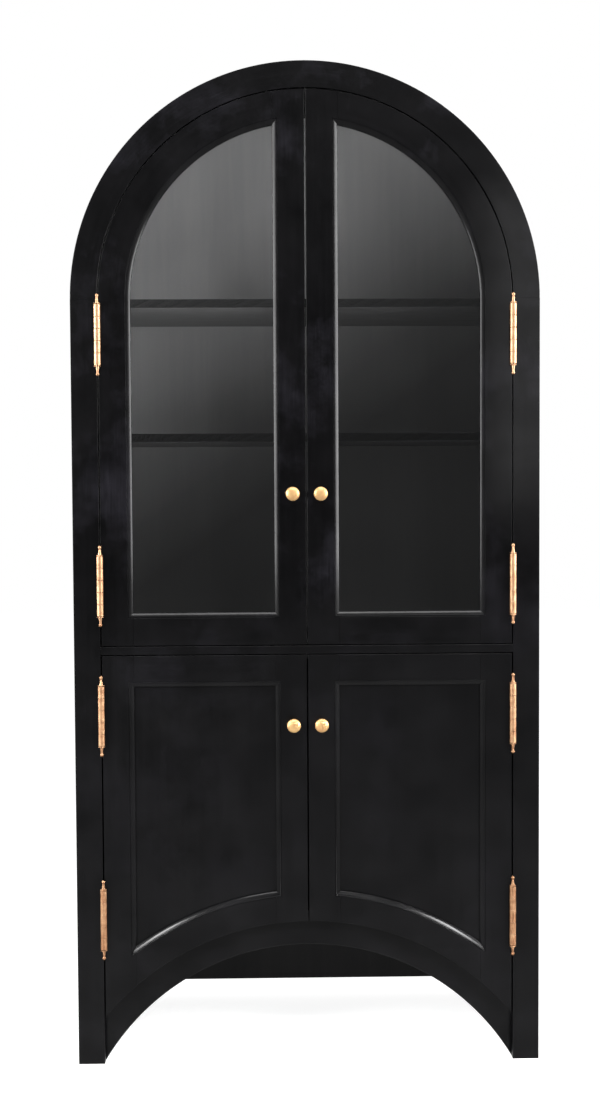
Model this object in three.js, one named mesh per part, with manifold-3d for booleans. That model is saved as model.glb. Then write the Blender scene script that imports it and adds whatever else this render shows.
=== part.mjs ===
// Arched curio cabinet: a glazed display case over a closed cupboard, on an arched base.
//
// Millimetres, +Z up. The doors face -Y, the cabinet is symmetric about X = 0 and stands on
// Z = 0. Inside this file Y = 0 is the front face of the doors and the face frame; the whole
// group is then moved in Y so that its bounding box is centred on the origin.

import * as THREE from 'three';
import { mergeVertices } from 'three/addons/utils/BufferGeometryUtils.js';
import Module from 'manifold-3d';

const wasm = await Module();
wasm.setup();

// ---------------------------------------------------------------- driving dimensions

// Overall size
const HEIGHT = 2170;
const WIDTH = 1010;
const DEPTH = 430; // face of the doors to the rear of the back panel

// Carcass boards
const BOARD_T = 18; // sides, roof, deck, cupboard floor and shelves
const BACK_T = 8;
const BACK_LIFT = 47; // lower edge of the back panel above the floor
const ROOF_LEG = 75; // straight part of the bent roof below its spring line
const HOUSING = 6; // depth of the grooves that hold the deck, the floor and the shelves
const FIT = 0.3; // gap between pieces that touch

// Levels
const DECK_TOP = 917;
const UPPER_SHELF_RISE = 4; // top of the upper shelf above the spring line
const SHELF_STEP = 291; // top of the upper shelf to top of the lower shelf
const SHELF_SETBACK = 40; // front edge of a shelf behind the doors' face

// Face frame and arched base
const FACE_W = 57; // visible width of the stiles and of the arch band
const ARC_DROP = 268; // centre of the base arcs below the floor
const BASE_BAND = 58; // visible height of the apron between its opening and the doors
const APRON_T = 20;
const APRON_LAP = 18; // how far the apron rises behind the lowest point of the doors' crown

// Doors
const DOOR_T = 24;
const DOOR_GAP = 3; // round the doors and between them
const DECK_GAP = 2; // between the doors and the deck's front edge
const STOP_GAP = 1; // behind a closed door
const RAIL_W = 68.5; // stiles and rails, moulding included
const LOW_RAIL_W = 71; // bottom rail of the display doors
const MOULD_W = 11; // step that seats the moulding along the sight edge
const MOULD_D = 7; // below the door face
const LIP_T = 10; // wood in front of the glass or panel
const REBATE_W = 8;
const PANE_PLAY = 1; // gap between a pane's edge and its rebate
const GLASS_T = 4;
const PANEL_T = 6;

// Hinges: butt hinges whose barrels stand proud of the face
const BARREL_R = 6.75;
const BARREL_L = 129;
const BARREL_PROUD = 0.5; // barrel to the doors' face
const PIN_R = 3;
const PIN_PLAY = 0.5;
const KNUCKLES = 5;
const KNUCKLE_GAP = 0.35;
const LEAF_T = 2;
const LEAF_GAP = 0.6; // between the two leaves of a closed hinge
const LEAF_REACH = 19; // leaf behind the doors' face
const FINIAL_H = 23;
const FINIAL_NECK_R = 2.8;
const FINIAL_BALL_R = 4.2;
const TOP_HINGE_DROP = 12.5; // top barrel's upper end below the spring line
const HINGE_INSET = 65.5; // barrels next to the deck, from the door's end
const LOW_HINGE_RISE = 152.5; // lowest barrel's lower end above the door's corner

// Knobs
const KNOB_R = 15;
const KNOB_H = 28;
const KNOB_BASE_R = 8.5;
const KNOB_NECK_R = 5.5;
const KNOB_HEAD_H = 16; // thickness of the rounded head
const DISPLAY_KNOB_RISE = 329; // above the deck
const CUPBOARD_KNOB_DROP = 172; // below the deck's top

// Magnetic catches: one twin catch for each pair of doors
const CATCH_L = 64;
const CATCH_D = 18;
const CATCH_H = 14;
const CATCH_FLANGE_D = 10;
const CATCH_FLANGE_T = 2.5;

// Fineness of round shapes
const ARC_STEP = THREE.MathUtils.degToRad(1.875);
const HINGE_SIDES = 8;
const KNOB_SIDES = 12;

// ---------------------------------------------------------------- derived sizes

const OUTER_R = WIDTH / 2;
const SPRING_Z = HEIGHT - OUTER_R; // where the straight sides meet the half-round top
const CASE_R = OUTER_R - BOARD_T; // inside of the sides and the roof
const FACE_R = OUTER_R - FACE_W; // inner edge of the face frame
const DOOR_R = FACE_R - DOOR_GAP; // hinge edge and arched edge of the doors
const MEET_X = DOOR_GAP / 2; // meeting edge of a door
const GAP_X = FACE_R - DOOR_GAP / 2; // middle of the gap that holds the hinges

const FACE_T = DOOR_T + STOP_GAP;
const CASE_Y = FACE_T + FIT; // front of everything behind the face frame
const BACK_Y = DEPTH - BACK_T;
const INSIDE_BACK_Y = BACK_Y - FIT;

const OPEN_ARC_R = Math.hypot(FACE_R, ARC_DROP); // apron opening, ending at the stiles' feet
const DOOR_ARC_R = OPEN_ARC_R + BASE_BAND; // lower edge of the cupboard doors
const BASE_TOP = DOOR_ARC_R - ARC_DROP + APRON_LAP;

const DECK_LOW = DECK_TOP - BOARD_T;
const DISPLAY_LOW = DECK_TOP + DECK_GAP;
const CUPBOARD_HIGH = DECK_LOW - DECK_GAP;
const UPPER_SHELF_TOP = SPRING_Z + UPPER_SHELF_RISE;
const LOWER_SHELF_TOP = UPPER_SHELF_TOP - SHELF_STEP;

const HOUSED_X = CASE_R + HOUSING; // bottom of the grooves
const AXIS_Y = -(BARREL_R + BARREL_PROUD);
const LEAF_OUT = LEAF_GAP / 2 + LEAF_T; // outer face of a leaf from the hinge axis
const KNOB_X = MEET_X + (RAIL_W - MOULD_W) / 2;
const KNOB_REACH = FIT + KNOB_H;

// ---------------------------------------------------------------- materials

const material = (color, roughness, metalness) =>
  new THREE.MeshStandardMaterial({ color, roughness, metalness });

const BLACK_WOOD = material(0x1c1c20, 0.45, 0);
const INSIDE_WOOD = material(0x141416, 0.6, 0);
const GLASS = material(0x8a8f96, 0.05, 0);
const HINGE_BRASS = material(0xc59a68, 0.35, 1);
const KNOB_BRASS = material(0xe0be80, 0.3, 1);
const CATCH_PLASTIC = material(0x2a2a2a, 0.5, 0);

// ---------------------------------------------------------------- solids

// A closed geometry as a solid that can be cut and joined.
function solidOf(geometry) {
  const bare = geometry.clone();
  bare.deleteAttribute('normal');
  bare.deleteAttribute('uv');
  const merged = mergeVertices(bare, 1e-4);
  return new wasm.Manifold(new wasm.Mesh({
    numProp: 3,
    vertProperties: new Float32Array(merged.attributes.position.array),
    triVerts: new Uint32Array(merged.index.array),
  }));
}

// A solid as a flat-shaded geometry.
function geometryOf(solid) {
  const mesh = solid.getMesh();
  const indexed = new THREE.BufferGeometry();
  indexed.setAttribute('position', new THREE.BufferAttribute(mesh.vertProperties, 3));
  indexed.setIndex(new THREE.BufferAttribute(mesh.triVerts, 1));
  const geometry = indexed.toNonIndexed();
  geometry.computeVertexNormals();
  return geometry;
}

// A box between two opposite corners, given in any order.
function block(a, b) {
  const size = a.map((value, i) => Math.abs(b[i] - value));
  const middle = a.map((value, i) => (b[i] + value) / 2);
  return new THREE.BoxGeometry(...size).translate(...middle);
}

// An outline in X and Z, extruded from one Y to another.
function slab(outline, yFront, yRear) {
  const geometry = new THREE.ExtrudeGeometry(new THREE.Shape(outline), {
    depth: yRear - yFront,
    bevelEnabled: false,
  });
  return geometry.rotateX(Math.PI / 2).translate(0, yRear, 0);
}

// A solid of revolution about Z, from [radius, height] points that run upwards outside.
function turned(profile, sides) {
  const points = profile.map(([radius, height]) => new THREE.Vector2(radius, height));
  return new THREE.LatheGeometry(points, sides).rotateX(Math.PI / 2);
}

function cut(geometry, cutters) {
  return geometryOf(cutters.reduce(
    (solid, cutter) => solid.subtract(solidOf(cutter)),
    solidOf(geometry),
  ));
}

function join(geometries) {
  return geometryOf(geometries.map(solidOf).reduce((whole, next) => whole.add(next)));
}

function piece(name, geometry, paint) {
  const mesh = new THREE.Mesh(geometry, paint);
  mesh.name = name;
  return mesh;
}

// ---------------------------------------------------------------- outlines in X and Z

// Points of an arc about (0, centreZ). Points between the ends lie on whole steps, so
// concentric arcs have parallel facets.
function arc(centreZ, radius, from, to) {
  const way = Math.sign(to - from);
  const angles = [from];
  const first = way > 0 ? Math.floor(from / ARC_STEP) + 1 : Math.ceil(from / ARC_STEP) - 1;
  for (let i = first; way * (to - i * ARC_STEP) > 1e-6; i += way) angles.push(i * ARC_STEP);
  angles.push(to);
  return angles.map((angle) => new THREE.Vector2(
    radius * Math.cos(angle),
    centreZ + radius * Math.sin(angle),
  ));
}

const point = (x, z) => new THREE.Vector2(x, z);
const onSide = (side, points) => points.map(({ x, y }) => point(side * x, y));
const angleAt = (x, radius) => Math.acos(Math.min(1, x / radius));

// Region with a straight foot, upright sides and the roof arc on top.
function underArch({ inner, outer, low, radius }) {
  return [
    point(inner, low),
    point(outer, low),
    ...arc(SPRING_Z, radius, angleAt(outer, radius), angleAt(inner, radius)),
  ];
}

// Region with a straight top, upright sides and the base arc below.
function overArch({ inner, outer, high, radius }) {
  return [
    point(inner, high),
    point(outer, high),
    ...arc(-ARC_DROP, radius, angleAt(outer, radius), angleAt(inner, radius)),
  ];
}

// Band between two concentric arcs, from one X to another.
function band(centreZ, radiusIn, radiusOut, inner, outer) {
  return [
    ...arc(centreZ, radiusOut, angleAt(outer, radiusOut), angleAt(inner, radiusOut)),
    ...arc(centreZ, radiusIn, angleAt(inner, radiusIn), angleAt(outer, radiusIn)),
  ];
}

function rectangle(x0, x1, z0, z1) {
  return [point(x0, z0), point(x1, z0), point(x1, z1), point(x0, z1)];
}

// ---------------------------------------------------------------- hinge places

const HALF_BARREL = BARREL_L / 2;
const DISPLAY_HINGES = {
  upper: SPRING_Z - TOP_HINGE_DROP - HALF_BARREL,
  lower: DISPLAY_LOW + HINGE_INSET + HALF_BARREL,
};
const CUPBOARD_CORNER = overArch({
  inner: MEET_X, outer: DOOR_R, high: CUPBOARD_HIGH, radius: DOOR_ARC_R,
})[2].y;
const CUPBOARD_HINGES = {
  upper: CUPBOARD_HIGH - HINGE_INSET - HALF_BARREL,
  lower: CUPBOARD_CORNER + LOW_HINGE_RISE + HALF_BARREL,
};

// Recesses that seat both leaves of a hinge in the stile and the door edge.
function leafSeats(side, heights) {
  const half = LEAF_OUT + FIT;
  return Object.values(heights).map((z) => block(
    [side * (GAP_X - half), -1, z - HALF_BARREL - FIT],
    [side * (GAP_X + half), LEAF_REACH + FIT, z + HALF_BARREL + FIT],
  ));
}

// ---------------------------------------------------------------- carcass

// Groove in both sides that holds a board's ends.
function housing(boardTop, yFront) {
  return block(
    [-HOUSED_X, yFront - FIT, boardTop - BOARD_T - FIT],
    [HOUSED_X, BACK_Y, boardTop + FIT],
  );
}

function housedBoard(name, top, yFront, paint) {
  const reach = HOUSED_X - FIT;
  return piece(name, block([-reach, yFront, top - BOARD_T], [reach, INSIDE_BACK_Y, top]), paint);
}

function makeCarcass() {
  const carcass = new THREE.Group();
  const floorY = CASE_Y + APRON_T + FIT;
  const grooves = [
    housing(BASE_TOP, floorY),
    housing(DECK_TOP, CASE_Y),
    housing(LOWER_SHELF_TOP, SHELF_SETBACK),
    housing(UPPER_SHELF_TOP, SHELF_SETBACK),
  ];

  for (const [word, side] of [['left', -1], ['right', 1]]) {
    const board = block(
      [side * CASE_R, CASE_Y, 0],
      [side * OUTER_R, DEPTH, SPRING_Z - ROOF_LEG - FIT],
    );
    carcass.add(piece(`side_panel_${word}`, cut(board, grooves), BLACK_WOOD));

    const stile = block([side * FACE_R, 0, 0], [side * OUTER_R, FACE_T, SPRING_Z - FIT]);
    const seats = [...leafSeats(side, DISPLAY_HINGES), ...leafSeats(side, CUPBOARD_HINGES)];
    carcass.add(piece(`face_stile_${word}`, cut(stile, seats), BLACK_WOOD));
  }

  // The roof: a half ring with a short straight leg at each end.
  const roof = [
    point(OUTER_R, SPRING_Z - ROOF_LEG),
    ...arc(SPRING_Z, OUTER_R, 0, Math.PI),
    point(-OUTER_R, SPRING_Z - ROOF_LEG),
    point(-CASE_R, SPRING_Z - ROOF_LEG),
    ...arc(SPRING_Z, CASE_R, Math.PI, 0),
    point(CASE_R, SPRING_Z - ROOF_LEG),
  ];
  carcass.add(piece('arch_top', cut(slab(roof, CASE_Y, DEPTH), grooves), BLACK_WOOD));

  const faceArch = [
    ...arc(SPRING_Z, OUTER_R, 0, Math.PI),
    ...arc(SPRING_Z, FACE_R, Math.PI, 0),
  ];
  carcass.add(piece('face_arch', slab(faceArch, 0, FACE_T), BLACK_WOOD));

  const backR = CASE_R - FIT;
  const back = [
    point(-backR, BACK_LIFT),
    point(backR, BACK_LIFT),
    ...arc(SPRING_Z, backR, 0, Math.PI),
  ];
  carcass.add(piece('back_panel', slab(back, BACK_Y, DEPTH), INSIDE_WOOD));

  // The deck's front edge comes forward between the stiles, flush with the doors.
  const reach = HOUSED_X - FIT;
  carcass.add(piece('deck_panel', join([
    block([-reach, CASE_Y, DECK_LOW], [reach, INSIDE_BACK_Y, DECK_TOP]),
    block([FIT - FACE_R, 0, DECK_LOW], [FACE_R - FIT, CASE_Y + BOARD_T, DECK_TOP]),
  ]), BLACK_WOOD));
  carcass.add(housedBoard('base_panel', BASE_TOP, floorY, INSIDE_WOOD));
  carcass.add(housedBoard('display_shelf_upper', UPPER_SHELF_TOP, SHELF_SETBACK, INSIDE_WOOD));
  carcass.add(housedBoard('display_shelf_lower', LOWER_SHELF_TOP, SHELF_SETBACK, INSIDE_WOOD));

  // The apron stands on the floor behind the stiles and its opening springs from there.
  const footAngle = angleAt(FACE_R, OPEN_ARC_R);
  const apron = [
    point(backR, 0),
    point(backR, BASE_TOP),
    point(-backR, BASE_TOP),
    point(-backR, 0),
    ...arc(-ARC_DROP, OPEN_ARC_R, Math.PI - footAngle, footAngle),
  ];
  carcass.add(piece('base_apron', slab(apron, CASE_Y, CASE_Y + APRON_T), BLACK_WOOD));
  return carcass;
}

// ---------------------------------------------------------------- doors

// The two steps along a sight edge: moulding in front, rebate behind.
function frameCutters(side, opening) {
  return [
    slab(onSide(side, opening(MOULD_W)), -1, MOULD_D),
    slab(onSide(side, opening(REBATE_W)), LIP_T, DOOR_T + 1),
  ];
}

function makeDisplayDoor(word, side) {
  const door = new THREE.Group();
  const name = `display_door_${word}`;
  const sight = {
    inner: MEET_X + RAIL_W,
    outer: DOOR_R - RAIL_W,
    low: DISPLAY_LOW + LOW_RAIL_W,
    radius: DOOR_R - RAIL_W,
  };
  // Outline of the glazed opening, grown by a margin on every side.
  const opening = (grow) => underArch({
    inner: sight.inner - grow,
    outer: sight.outer + grow,
    low: sight.low - grow,
    radius: sight.radius + grow,
  });
  const cutters = frameCutters(side, opening);
  const frame = (outline) => slab(onSide(side, outline), 0, DOOR_T);

  // The hinge stile runs on into the arched rail as one bent piece.
  const bent = [
    point(sight.outer, DISPLAY_LOW),
    point(DOOR_R, DISPLAY_LOW),
    ...band(SPRING_Z, sight.radius, DOOR_R, sight.inner + FIT, DOOR_R),
  ];
  const seats = leafSeats(side, DISPLAY_HINGES);
  door.add(piece(`${name}_arch_stile`, cut(frame(bent), [...cutters, ...seats]), BLACK_WOOD));

  const meeting = underArch({
    inner: MEET_X, outer: sight.inner, low: DISPLAY_LOW, radius: DOOR_R,
  });
  door.add(piece(`${name}_meeting_stile`, cut(frame(meeting), cutters), BLACK_WOOD));

  const rail = rectangle(sight.inner + FIT, sight.outer - FIT, DISPLAY_LOW, sight.low);
  door.add(piece(`${name}_bottom_rail`, cut(frame(rail), cutters), BLACK_WOOD));

  const pane = onSide(side, opening(REBATE_W - PANE_PLAY));
  door.add(piece(`${name}_glass`, slab(pane, LIP_T + FIT, LIP_T + FIT + GLASS_T), GLASS));
  return door;
}

function makeCupboardDoor(word, side) {
  const door = new THREE.Group();
  const name = `cupboard_door_${word}`;
  const sight = {
    inner: MEET_X + RAIL_W,
    outer: DOOR_R - RAIL_W,
    high: CUPBOARD_HIGH - RAIL_W,
    radius: DOOR_ARC_R + RAIL_W,
  };
  const opening = (grow) => overArch({
    inner: sight.inner - grow,
    outer: sight.outer + grow,
    high: sight.high + grow,
    radius: sight.radius - grow,
  });
  const cutters = frameCutters(side, opening);
  const frame = (outline) => slab(onSide(side, outline), 0, DOOR_T);
  const upright = (inner, outer) => overArch({
    inner, outer, high: CUPBOARD_HIGH, radius: DOOR_ARC_R,
  });

  const hinged = cut(
    frame(upright(sight.outer, DOOR_R)),
    [...cutters, ...leafSeats(side, CUPBOARD_HINGES)],
  );
  door.add(piece(`${name}_hinge_stile`, hinged, BLACK_WOOD));

  const meeting = cut(frame(upright(MEET_X, sight.inner)), cutters);
  door.add(piece(`${name}_meeting_stile`, meeting, BLACK_WOOD));

  const railIn = sight.inner + FIT;
  const railOut = sight.outer - FIT;
  const topRail = rectangle(railIn, railOut, sight.high, CUPBOARD_HIGH);
  door.add(piece(`${name}_top_rail`, cut(frame(topRail), cutters), BLACK_WOOD));

  const lowRail = band(-ARC_DROP, DOOR_ARC_R, sight.radius, railIn, railOut);
  door.add(piece(`${name}_arched_rail`, cut(frame(lowRail), cutters), BLACK_WOOD));

  const pane = onSide(side, opening(REBATE_W - PANE_PLAY));
  door.add(piece(`${name}_panel`, slab(pane, LIP_T + FIT, LIP_T + FIT + PANEL_T), BLACK_WOOD));
  return door;
}

// ---------------------------------------------------------------- hinges

// A leaf about the hinge axis. way is the side of the axis on which the plate lies, and
// the leaf owns every second knuckle from the given one.
function leaf(way, firstKnuckle) {
  const pitch = (BARREL_L + KNUCKLE_GAP) / KNUCKLES;
  const x = [way * LEAF_GAP / 2, way * LEAF_OUT];
  const plateY = BARREL_R + KNUCKLE_GAP;
  const reach = LEAF_REACH - AXIS_Y;
  const boreR = PIN_R + PIN_PLAY;
  const parts = [block([x[0], plateY, -HALF_BARREL], [x[1], reach, HALF_BARREL])];
  for (let i = firstKnuckle; i < KNUCKLES; i += 2) {
    const low = i * pitch - HALF_BARREL;
    const high = low + pitch - KNUCKLE_GAP;
    const ring = [[boreR, low], [BARREL_R, low], [BARREL_R, high], [boreR, high], [boreR, low]];
    parts.push(turned(ring, HINGE_SIDES));
    parts.push(block([x[0], (boreR + BARREL_R) / 2, low], [x[1], plateY + LEAF_T, high]));
  }
  return join(parts);
}

// Pin with a turned finial at each end: collar, cove, neck and ball.
function hingePin() {
  const ballZ = FINIAL_H - FINIAL_BALL_R;
  const finial = [
    [PIN_R, KNUCKLE_GAP],
    [BARREL_R, KNUCKLE_GAP],
    [BARREL_R, KNUCKLE_GAP + LEAF_T],
    [(BARREL_R + FINIAL_NECK_R) / 2, FINIAL_H / 3],
    [FINIAL_NECK_R, ballZ - FINIAL_BALL_R],
    [FINIAL_BALL_R, ballZ],
    [FINIAL_BALL_R * 0.7, ballZ + FINIAL_BALL_R * 0.7],
    [0, FINIAL_H],
  ];
  const upper = finial.map(([r, z]) => [r, HALF_BARREL + z]);
  const lower = upper.map(([r, z]) => [r, -z]).reverse();
  return turned([...lower, ...upper], HINGE_SIDES);
}

function makeHinge(name, side, z) {
  const hinge = new THREE.Group();
  hinge.add(piece(`${name}_frame_leaf`, leaf(side, 0), HINGE_BRASS));
  hinge.add(piece(`${name}_door_leaf`, leaf(-side, 1), HINGE_BRASS));
  hinge.add(piece(`${name}_pin`, hingePin(), HINGE_BRASS));
  hinge.position.set(side * GAP_X, AXIS_Y, z);
  return hinge;
}

// ---------------------------------------------------------------- knobs and catches

// Turned knob: a small foot, a waisted neck and a rounded head. Its axis points forwards.
function makeKnob(name, side, z) {
  const headZ = KNOB_H - KNOB_HEAD_H / 2;
  const profile = [
    [0, 0],
    [KNOB_BASE_R, 0],
    [KNOB_BASE_R, 1.5],
    [KNOB_NECK_R, 4],
    [KNOB_NECK_R, headZ - KNOB_HEAD_H / 2 - 2],
  ];
  for (let angle = -60; angle <= 60; angle += 30) {
    const turn = THREE.MathUtils.degToRad(angle);
    profile.push([KNOB_R * Math.cos(turn), headZ + KNOB_HEAD_H / 2 * Math.sin(turn)]);
  }
  profile.push([0, KNOB_H]);
  const knob = piece(name, turned(profile, KNOB_SIDES), KNOB_BRASS);
  knob.rotation.x = Math.PI / 2;
  knob.position.set(side * KNOB_X, -FIT, z);
  return knob;
}

// Twin magnetic catch behind the meeting stiles. up is 1 on the deck and -1 below it.
function makeCatch(name, seatZ, up) {
  const front = DOOR_T + STOP_GAP;
  const foot = seatZ + up * FIT;
  const housingBox = block(
    [-CATCH_L / 2, front, foot],
    [CATCH_L / 2, front + CATCH_D, foot + up * CATCH_H],
  );
  const flange = block(
    [-CATCH_L / 2, front + CATCH_D - 1, foot],
    [CATCH_L / 2, front + CATCH_D + CATCH_FLANGE_D, foot + up * CATCH_FLANGE_T],
  );
  return piece(name, join([housingBox, flange]), CATCH_PLASTIC);
}

// ---------------------------------------------------------------- the cabinet

const cabinet = new THREE.Group();
cabinet.add(makeCarcass());
cabinet.add(makeCatch('display_catch', DECK_TOP, 1));
cabinet.add(makeCatch('cupboard_catch', DECK_LOW, -1));

for (const [word, side] of [['left', -1], ['right', 1]]) {
  cabinet.add(makeDisplayDoor(word, side));
  cabinet.add(makeCupboardDoor(word, side));
  cabinet.add(makeKnob(`display_knob_${word}`, side, DECK_TOP + DISPLAY_KNOB_RISE));
  cabinet.add(makeKnob(`cupboard_knob_${word}`, side, DECK_TOP - CUPBOARD_KNOB_DROP));
  for (const [place, z] of Object.entries(DISPLAY_HINGES)) {
    cabinet.add(makeHinge(`display_hinge_${word}_${place}`, side, z));
  }
  for (const [place, z] of Object.entries(CUPBOARD_HINGES)) {
    cabinet.add(makeHinge(`cupboard_hinge_${word}_${place}`, side, z));
  }
}

cabinet.position.y = -(DEPTH - KNOB_REACH) / 2;

export default cabinet;
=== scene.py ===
"""Finished pieces of an arched curio cabinet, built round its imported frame.

Metres, +Z up, the doors face -Y. Boards are eased copies of the frame's own boards, the mouldings
and beads are mitred rings, hinges and knobs are turned, and every screw comes from one node tree.
"""

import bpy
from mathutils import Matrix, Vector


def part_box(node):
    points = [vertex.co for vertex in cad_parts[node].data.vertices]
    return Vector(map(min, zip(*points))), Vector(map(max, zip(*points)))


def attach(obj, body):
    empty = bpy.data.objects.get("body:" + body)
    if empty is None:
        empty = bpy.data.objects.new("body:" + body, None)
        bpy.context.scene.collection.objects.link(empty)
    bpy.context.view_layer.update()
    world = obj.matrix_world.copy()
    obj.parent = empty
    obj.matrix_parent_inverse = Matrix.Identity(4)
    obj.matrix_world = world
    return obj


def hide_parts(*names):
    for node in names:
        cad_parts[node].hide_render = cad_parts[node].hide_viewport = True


bl_info = {
    "name": "Arched Curio Cabinet",
    "version": (1, 0, 0),
    "blender": (4, 5, 0),
    "location": "3D View > Sidebar > Cabinet",
    "description": "Builds the finished pieces of an arched curio cabinet round its frame",
    "category": "Object",
}

from math import acos, atan2, cos, hypot, pi, radians, sin

import bmesh
import bpy
from mathutils import Matrix, Vector

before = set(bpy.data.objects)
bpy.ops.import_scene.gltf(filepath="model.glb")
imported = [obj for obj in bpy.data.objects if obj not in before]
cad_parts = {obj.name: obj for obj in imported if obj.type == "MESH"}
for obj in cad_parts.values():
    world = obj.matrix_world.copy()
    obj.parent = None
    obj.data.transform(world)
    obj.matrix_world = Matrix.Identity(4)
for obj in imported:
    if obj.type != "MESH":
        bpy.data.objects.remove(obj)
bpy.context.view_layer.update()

MM = 0.001
SIDES = (("left", -1), ("right", 1))
PLACES = ("upper", "lower")

# ------------------------------------------------------------------ places read from the frame

FACE_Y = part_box("face_arch")[0].y  # front face of the doors and the face frame
REAR_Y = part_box("back_panel")[1].y
OUTER_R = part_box("face_arch")[1].x
SPRING_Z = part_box("face_arch")[0].z  # where the upright sides meet the half-round top
FACE_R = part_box("face_stile_right")[0].x
MEET_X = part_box("display_door_right_meeting_stile")[0].x  # meeting edge of the right doors
RAIL_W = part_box("display_door_right_meeting_stile")[1].x - MEET_X
DOOR_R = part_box("display_door_right_arch_stile")[1].x
SIGHT_IN = MEET_X + RAIL_W
SIGHT_OUT = DOOR_R - RAIL_W
DISPLAY_SIGHT_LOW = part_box("display_door_right_bottom_rail")[1].z
CUPBOARD_SIGHT_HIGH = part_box("cupboard_door_right_top_rail")[0].z
DOOR_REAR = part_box("display_door_right_meeting_stile")[1].y - FACE_Y
GLASS_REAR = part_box("display_door_right_glass")[1].y - FACE_Y
PANEL_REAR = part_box("cupboard_door_right_panel")[1].y - FACE_Y


# ------------------------------------------------------------------ fixed sizes

BEVEL_SLOPE = 0.62  # depth of a plain bevel over its width on the face
HAIR = 0.1 * MM  # keeps two faces out of one plane
WELD = 3e-6  # vertices of a frame board this close are one
JOINT_REACH = 0.45 * MM  # how far from a glued joint an edge still belongs to it
ARC_POINTS = 72

BACK_SET_IN = 0.45 * MM  # from the frame's rear plane to the back panel's finished face
LINING_T = 1.2 * MM
LINING_MARGIN = 2 * MM
LINING_RISE = 0.5 * MM  # above the deck
LIPPING_RETURN = 4 * MM  # along a shelf's faces, behind its front edge
LIPPING_CORNER = 1.2 * MM
PANEL_EASE = 0.3 * MM

LEAF_CLEARANCE = 0.3 * MM  # from the plane between the two leaves to a plate
LEAF_T = 2.0 * MM
LEAF_EASE = 0.2 * MM
PIN_R = 3.0 * MM
BORE_R = 3.5 * MM  # of the knuckles
HEAD_PROUD = 0.18 * MM  # of the hinge screws, above the middle plane of the leaves
SCREW_INSET = 9.0 * MM  # from a leaf's free edge
SCREW_STAGGER = 1.5 * MM
SCREW_LEVELS = (-0.7, 0.0, 0.7)  # as shares of half a leaf's height

BACK_SCREW_INSET = 0.012
BACK_SCREW_FOOT = 0.03
BACK_SCREW_MARGINS = 0.05  # foot and head margins of the upright rows together
BACK_SCREW_SINK = 0.05 * MM
SHELF_SCREW_PITCH = 0.18
SHELF_SCREWS = 5

CATCH_EASE = 0.6 * MM
MAGNET_W, MAGNET_H, MAGNET_CORNER = 0.022, 0.009, 1.0 * MM
MAGNET_PROUD, MAGNET_DEPTH = 0.2 * MM, 1.0 * MM  # in front of the catch's body and inside it
STRIKE_GROWN = 1.35  # a strike plate over a magnet, in width and height
STRIKE_T = 0.5 * MM
PLATE_EASE = 0.15 * MM

FLOOR_HALF = 12


# ------------------------------------------------------------------ sizes and colours


class CabinetSizes(bpy.types.PropertyGroup):
    """Sizes of the eased edges, the mouldings and the base arcs."""

    ease: bpy.props.FloatProperty(
        name="Eased edge", description="Rounding of the boards' arrises",
        default=1.2 * MM, unit="LENGTH", precision=5)
    meeting_ease: bpy.props.FloatProperty(
        name="Meeting edge", description="Bevel or rounding of the doors' meeting stiles",
        default=1.4 * MM, unit="LENGTH", precision=5)
    arc_drop: bpy.props.FloatProperty(
        name="Base arc centre", description="Centre of the base arcs below the floor",
        default=0.268, unit="LENGTH")
    base_band: bpy.props.FloatProperty(
        name="Base band", description="Height of the apron between its opening and the doors",
        default=0.058, unit="LENGTH")
    mould_width: bpy.props.FloatProperty(
        name="Moulding width", description="Width of the moulding on the face of a door",
        default=10.9 * MM, unit="LENGTH", precision=5)
    mould_depth: bpy.props.FloatProperty(
        name="Moulding depth", description="Depth of the moulding from the face of a door",
        default=6.9 * MM, unit="LENGTH", precision=5)
    nosing: bpy.props.FloatProperty(
        name="Nosing", description="Radius of the fine bead round the cupboard doors' panels",
        default=0.9 * MM, unit="LENGTH", precision=5)
    bead_width: bpy.props.FloatProperty(
        name="Bead width", description="Width of the beads that hold the panes",
        default=7.6 * MM, unit="LENGTH", precision=5)


class FittingSizes(bpy.types.PropertyGroup):
    """Sizes of the hinges and the screws."""

    knuckles: bpy.props.IntProperty(
        name="Knuckles", description="Knuckles of a hinge", default=5, min=3)
    knuckle_gap: bpy.props.FloatProperty(
        name="Knuckle gap", description="Gap between two knuckles",
        default=0.8 * MM, unit="LENGTH", precision=5)
    finial_gap: bpy.props.FloatProperty(
        name="Finial gap", description="Gap between the barrel and a finial",
        default=1.8 * MM, unit="LENGTH", precision=5)
    leaf_corner: bpy.props.FloatProperty(
        name="Leaf corner", description="Corner radius of a hinge leaf",
        default=4 * MM, unit="LENGTH", precision=5)
    head_radius: bpy.props.FloatProperty(
        name="Screw head radius", description="Head radius of the hinge screws",
        default=3.6 * MM, unit="LENGTH", precision=5)
    back_head_radius: bpy.props.FloatProperty(
        name="Back screw head radius", description="Head radius of the back panel's screws",
        default=3.4 * MM, unit="LENGTH", precision=5)
    back_screw_pitch: bpy.props.FloatProperty(
        name="Back screw pitch", description="Distance between the back panel's screws",
        default=0.15, unit="LENGTH")
    seed: bpy.props.IntProperty(
        name="Screw seed", description="Seed for the turn of each screw's slot", default=7)


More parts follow.
